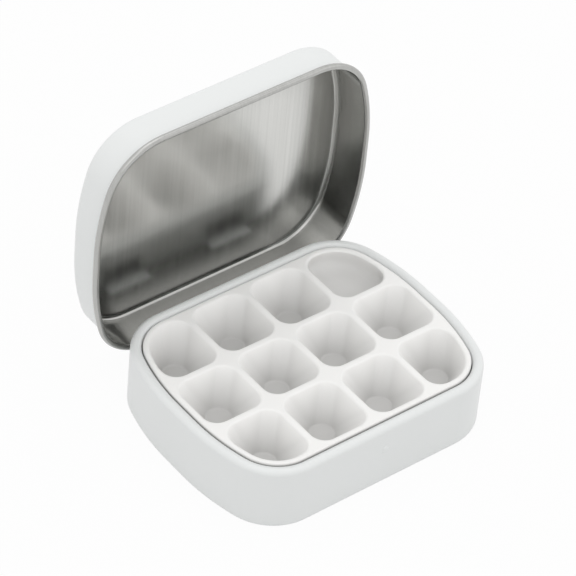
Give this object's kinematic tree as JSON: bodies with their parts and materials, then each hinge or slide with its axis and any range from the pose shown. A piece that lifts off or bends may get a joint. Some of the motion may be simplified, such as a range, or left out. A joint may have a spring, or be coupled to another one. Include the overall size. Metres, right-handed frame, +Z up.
{
  "type": "watercolor pan set",
  "caption": "Pocket tinplate box with round corners, a hinged slip-over lid and a moulded white tray of tapered wells for watercolour.",
  "frame": {"origin": "middle of the base tin's underside, on the surface that it stands on", "axes": "+X to the right seen from the front, +Y towards the hinge at the back, +Z up"},
  "size_m": [0.0632, 0.0574, 0.0566],
  "materials": {
    "coated_tinplate": "satin white coat outside, bare brushed tinplate inside the lid",
    "tray_plastic": "smooth matt white moulding"
  },
  "bodies": {
    "root": {"base_tin": "coated_tinplate", "well_tray": "tray_plastic"},
    "lid": {"lid": "coated_tinplate"}
  },
  "joints": [
    {"name": "lid_hinge", "type": "hinge", "parent": "root", "child": "lid", "pos_m": [0, 0.02488, 0.00598], "axis": [1, 0, 0], "range_deg": [0, 90]}
  ]
}
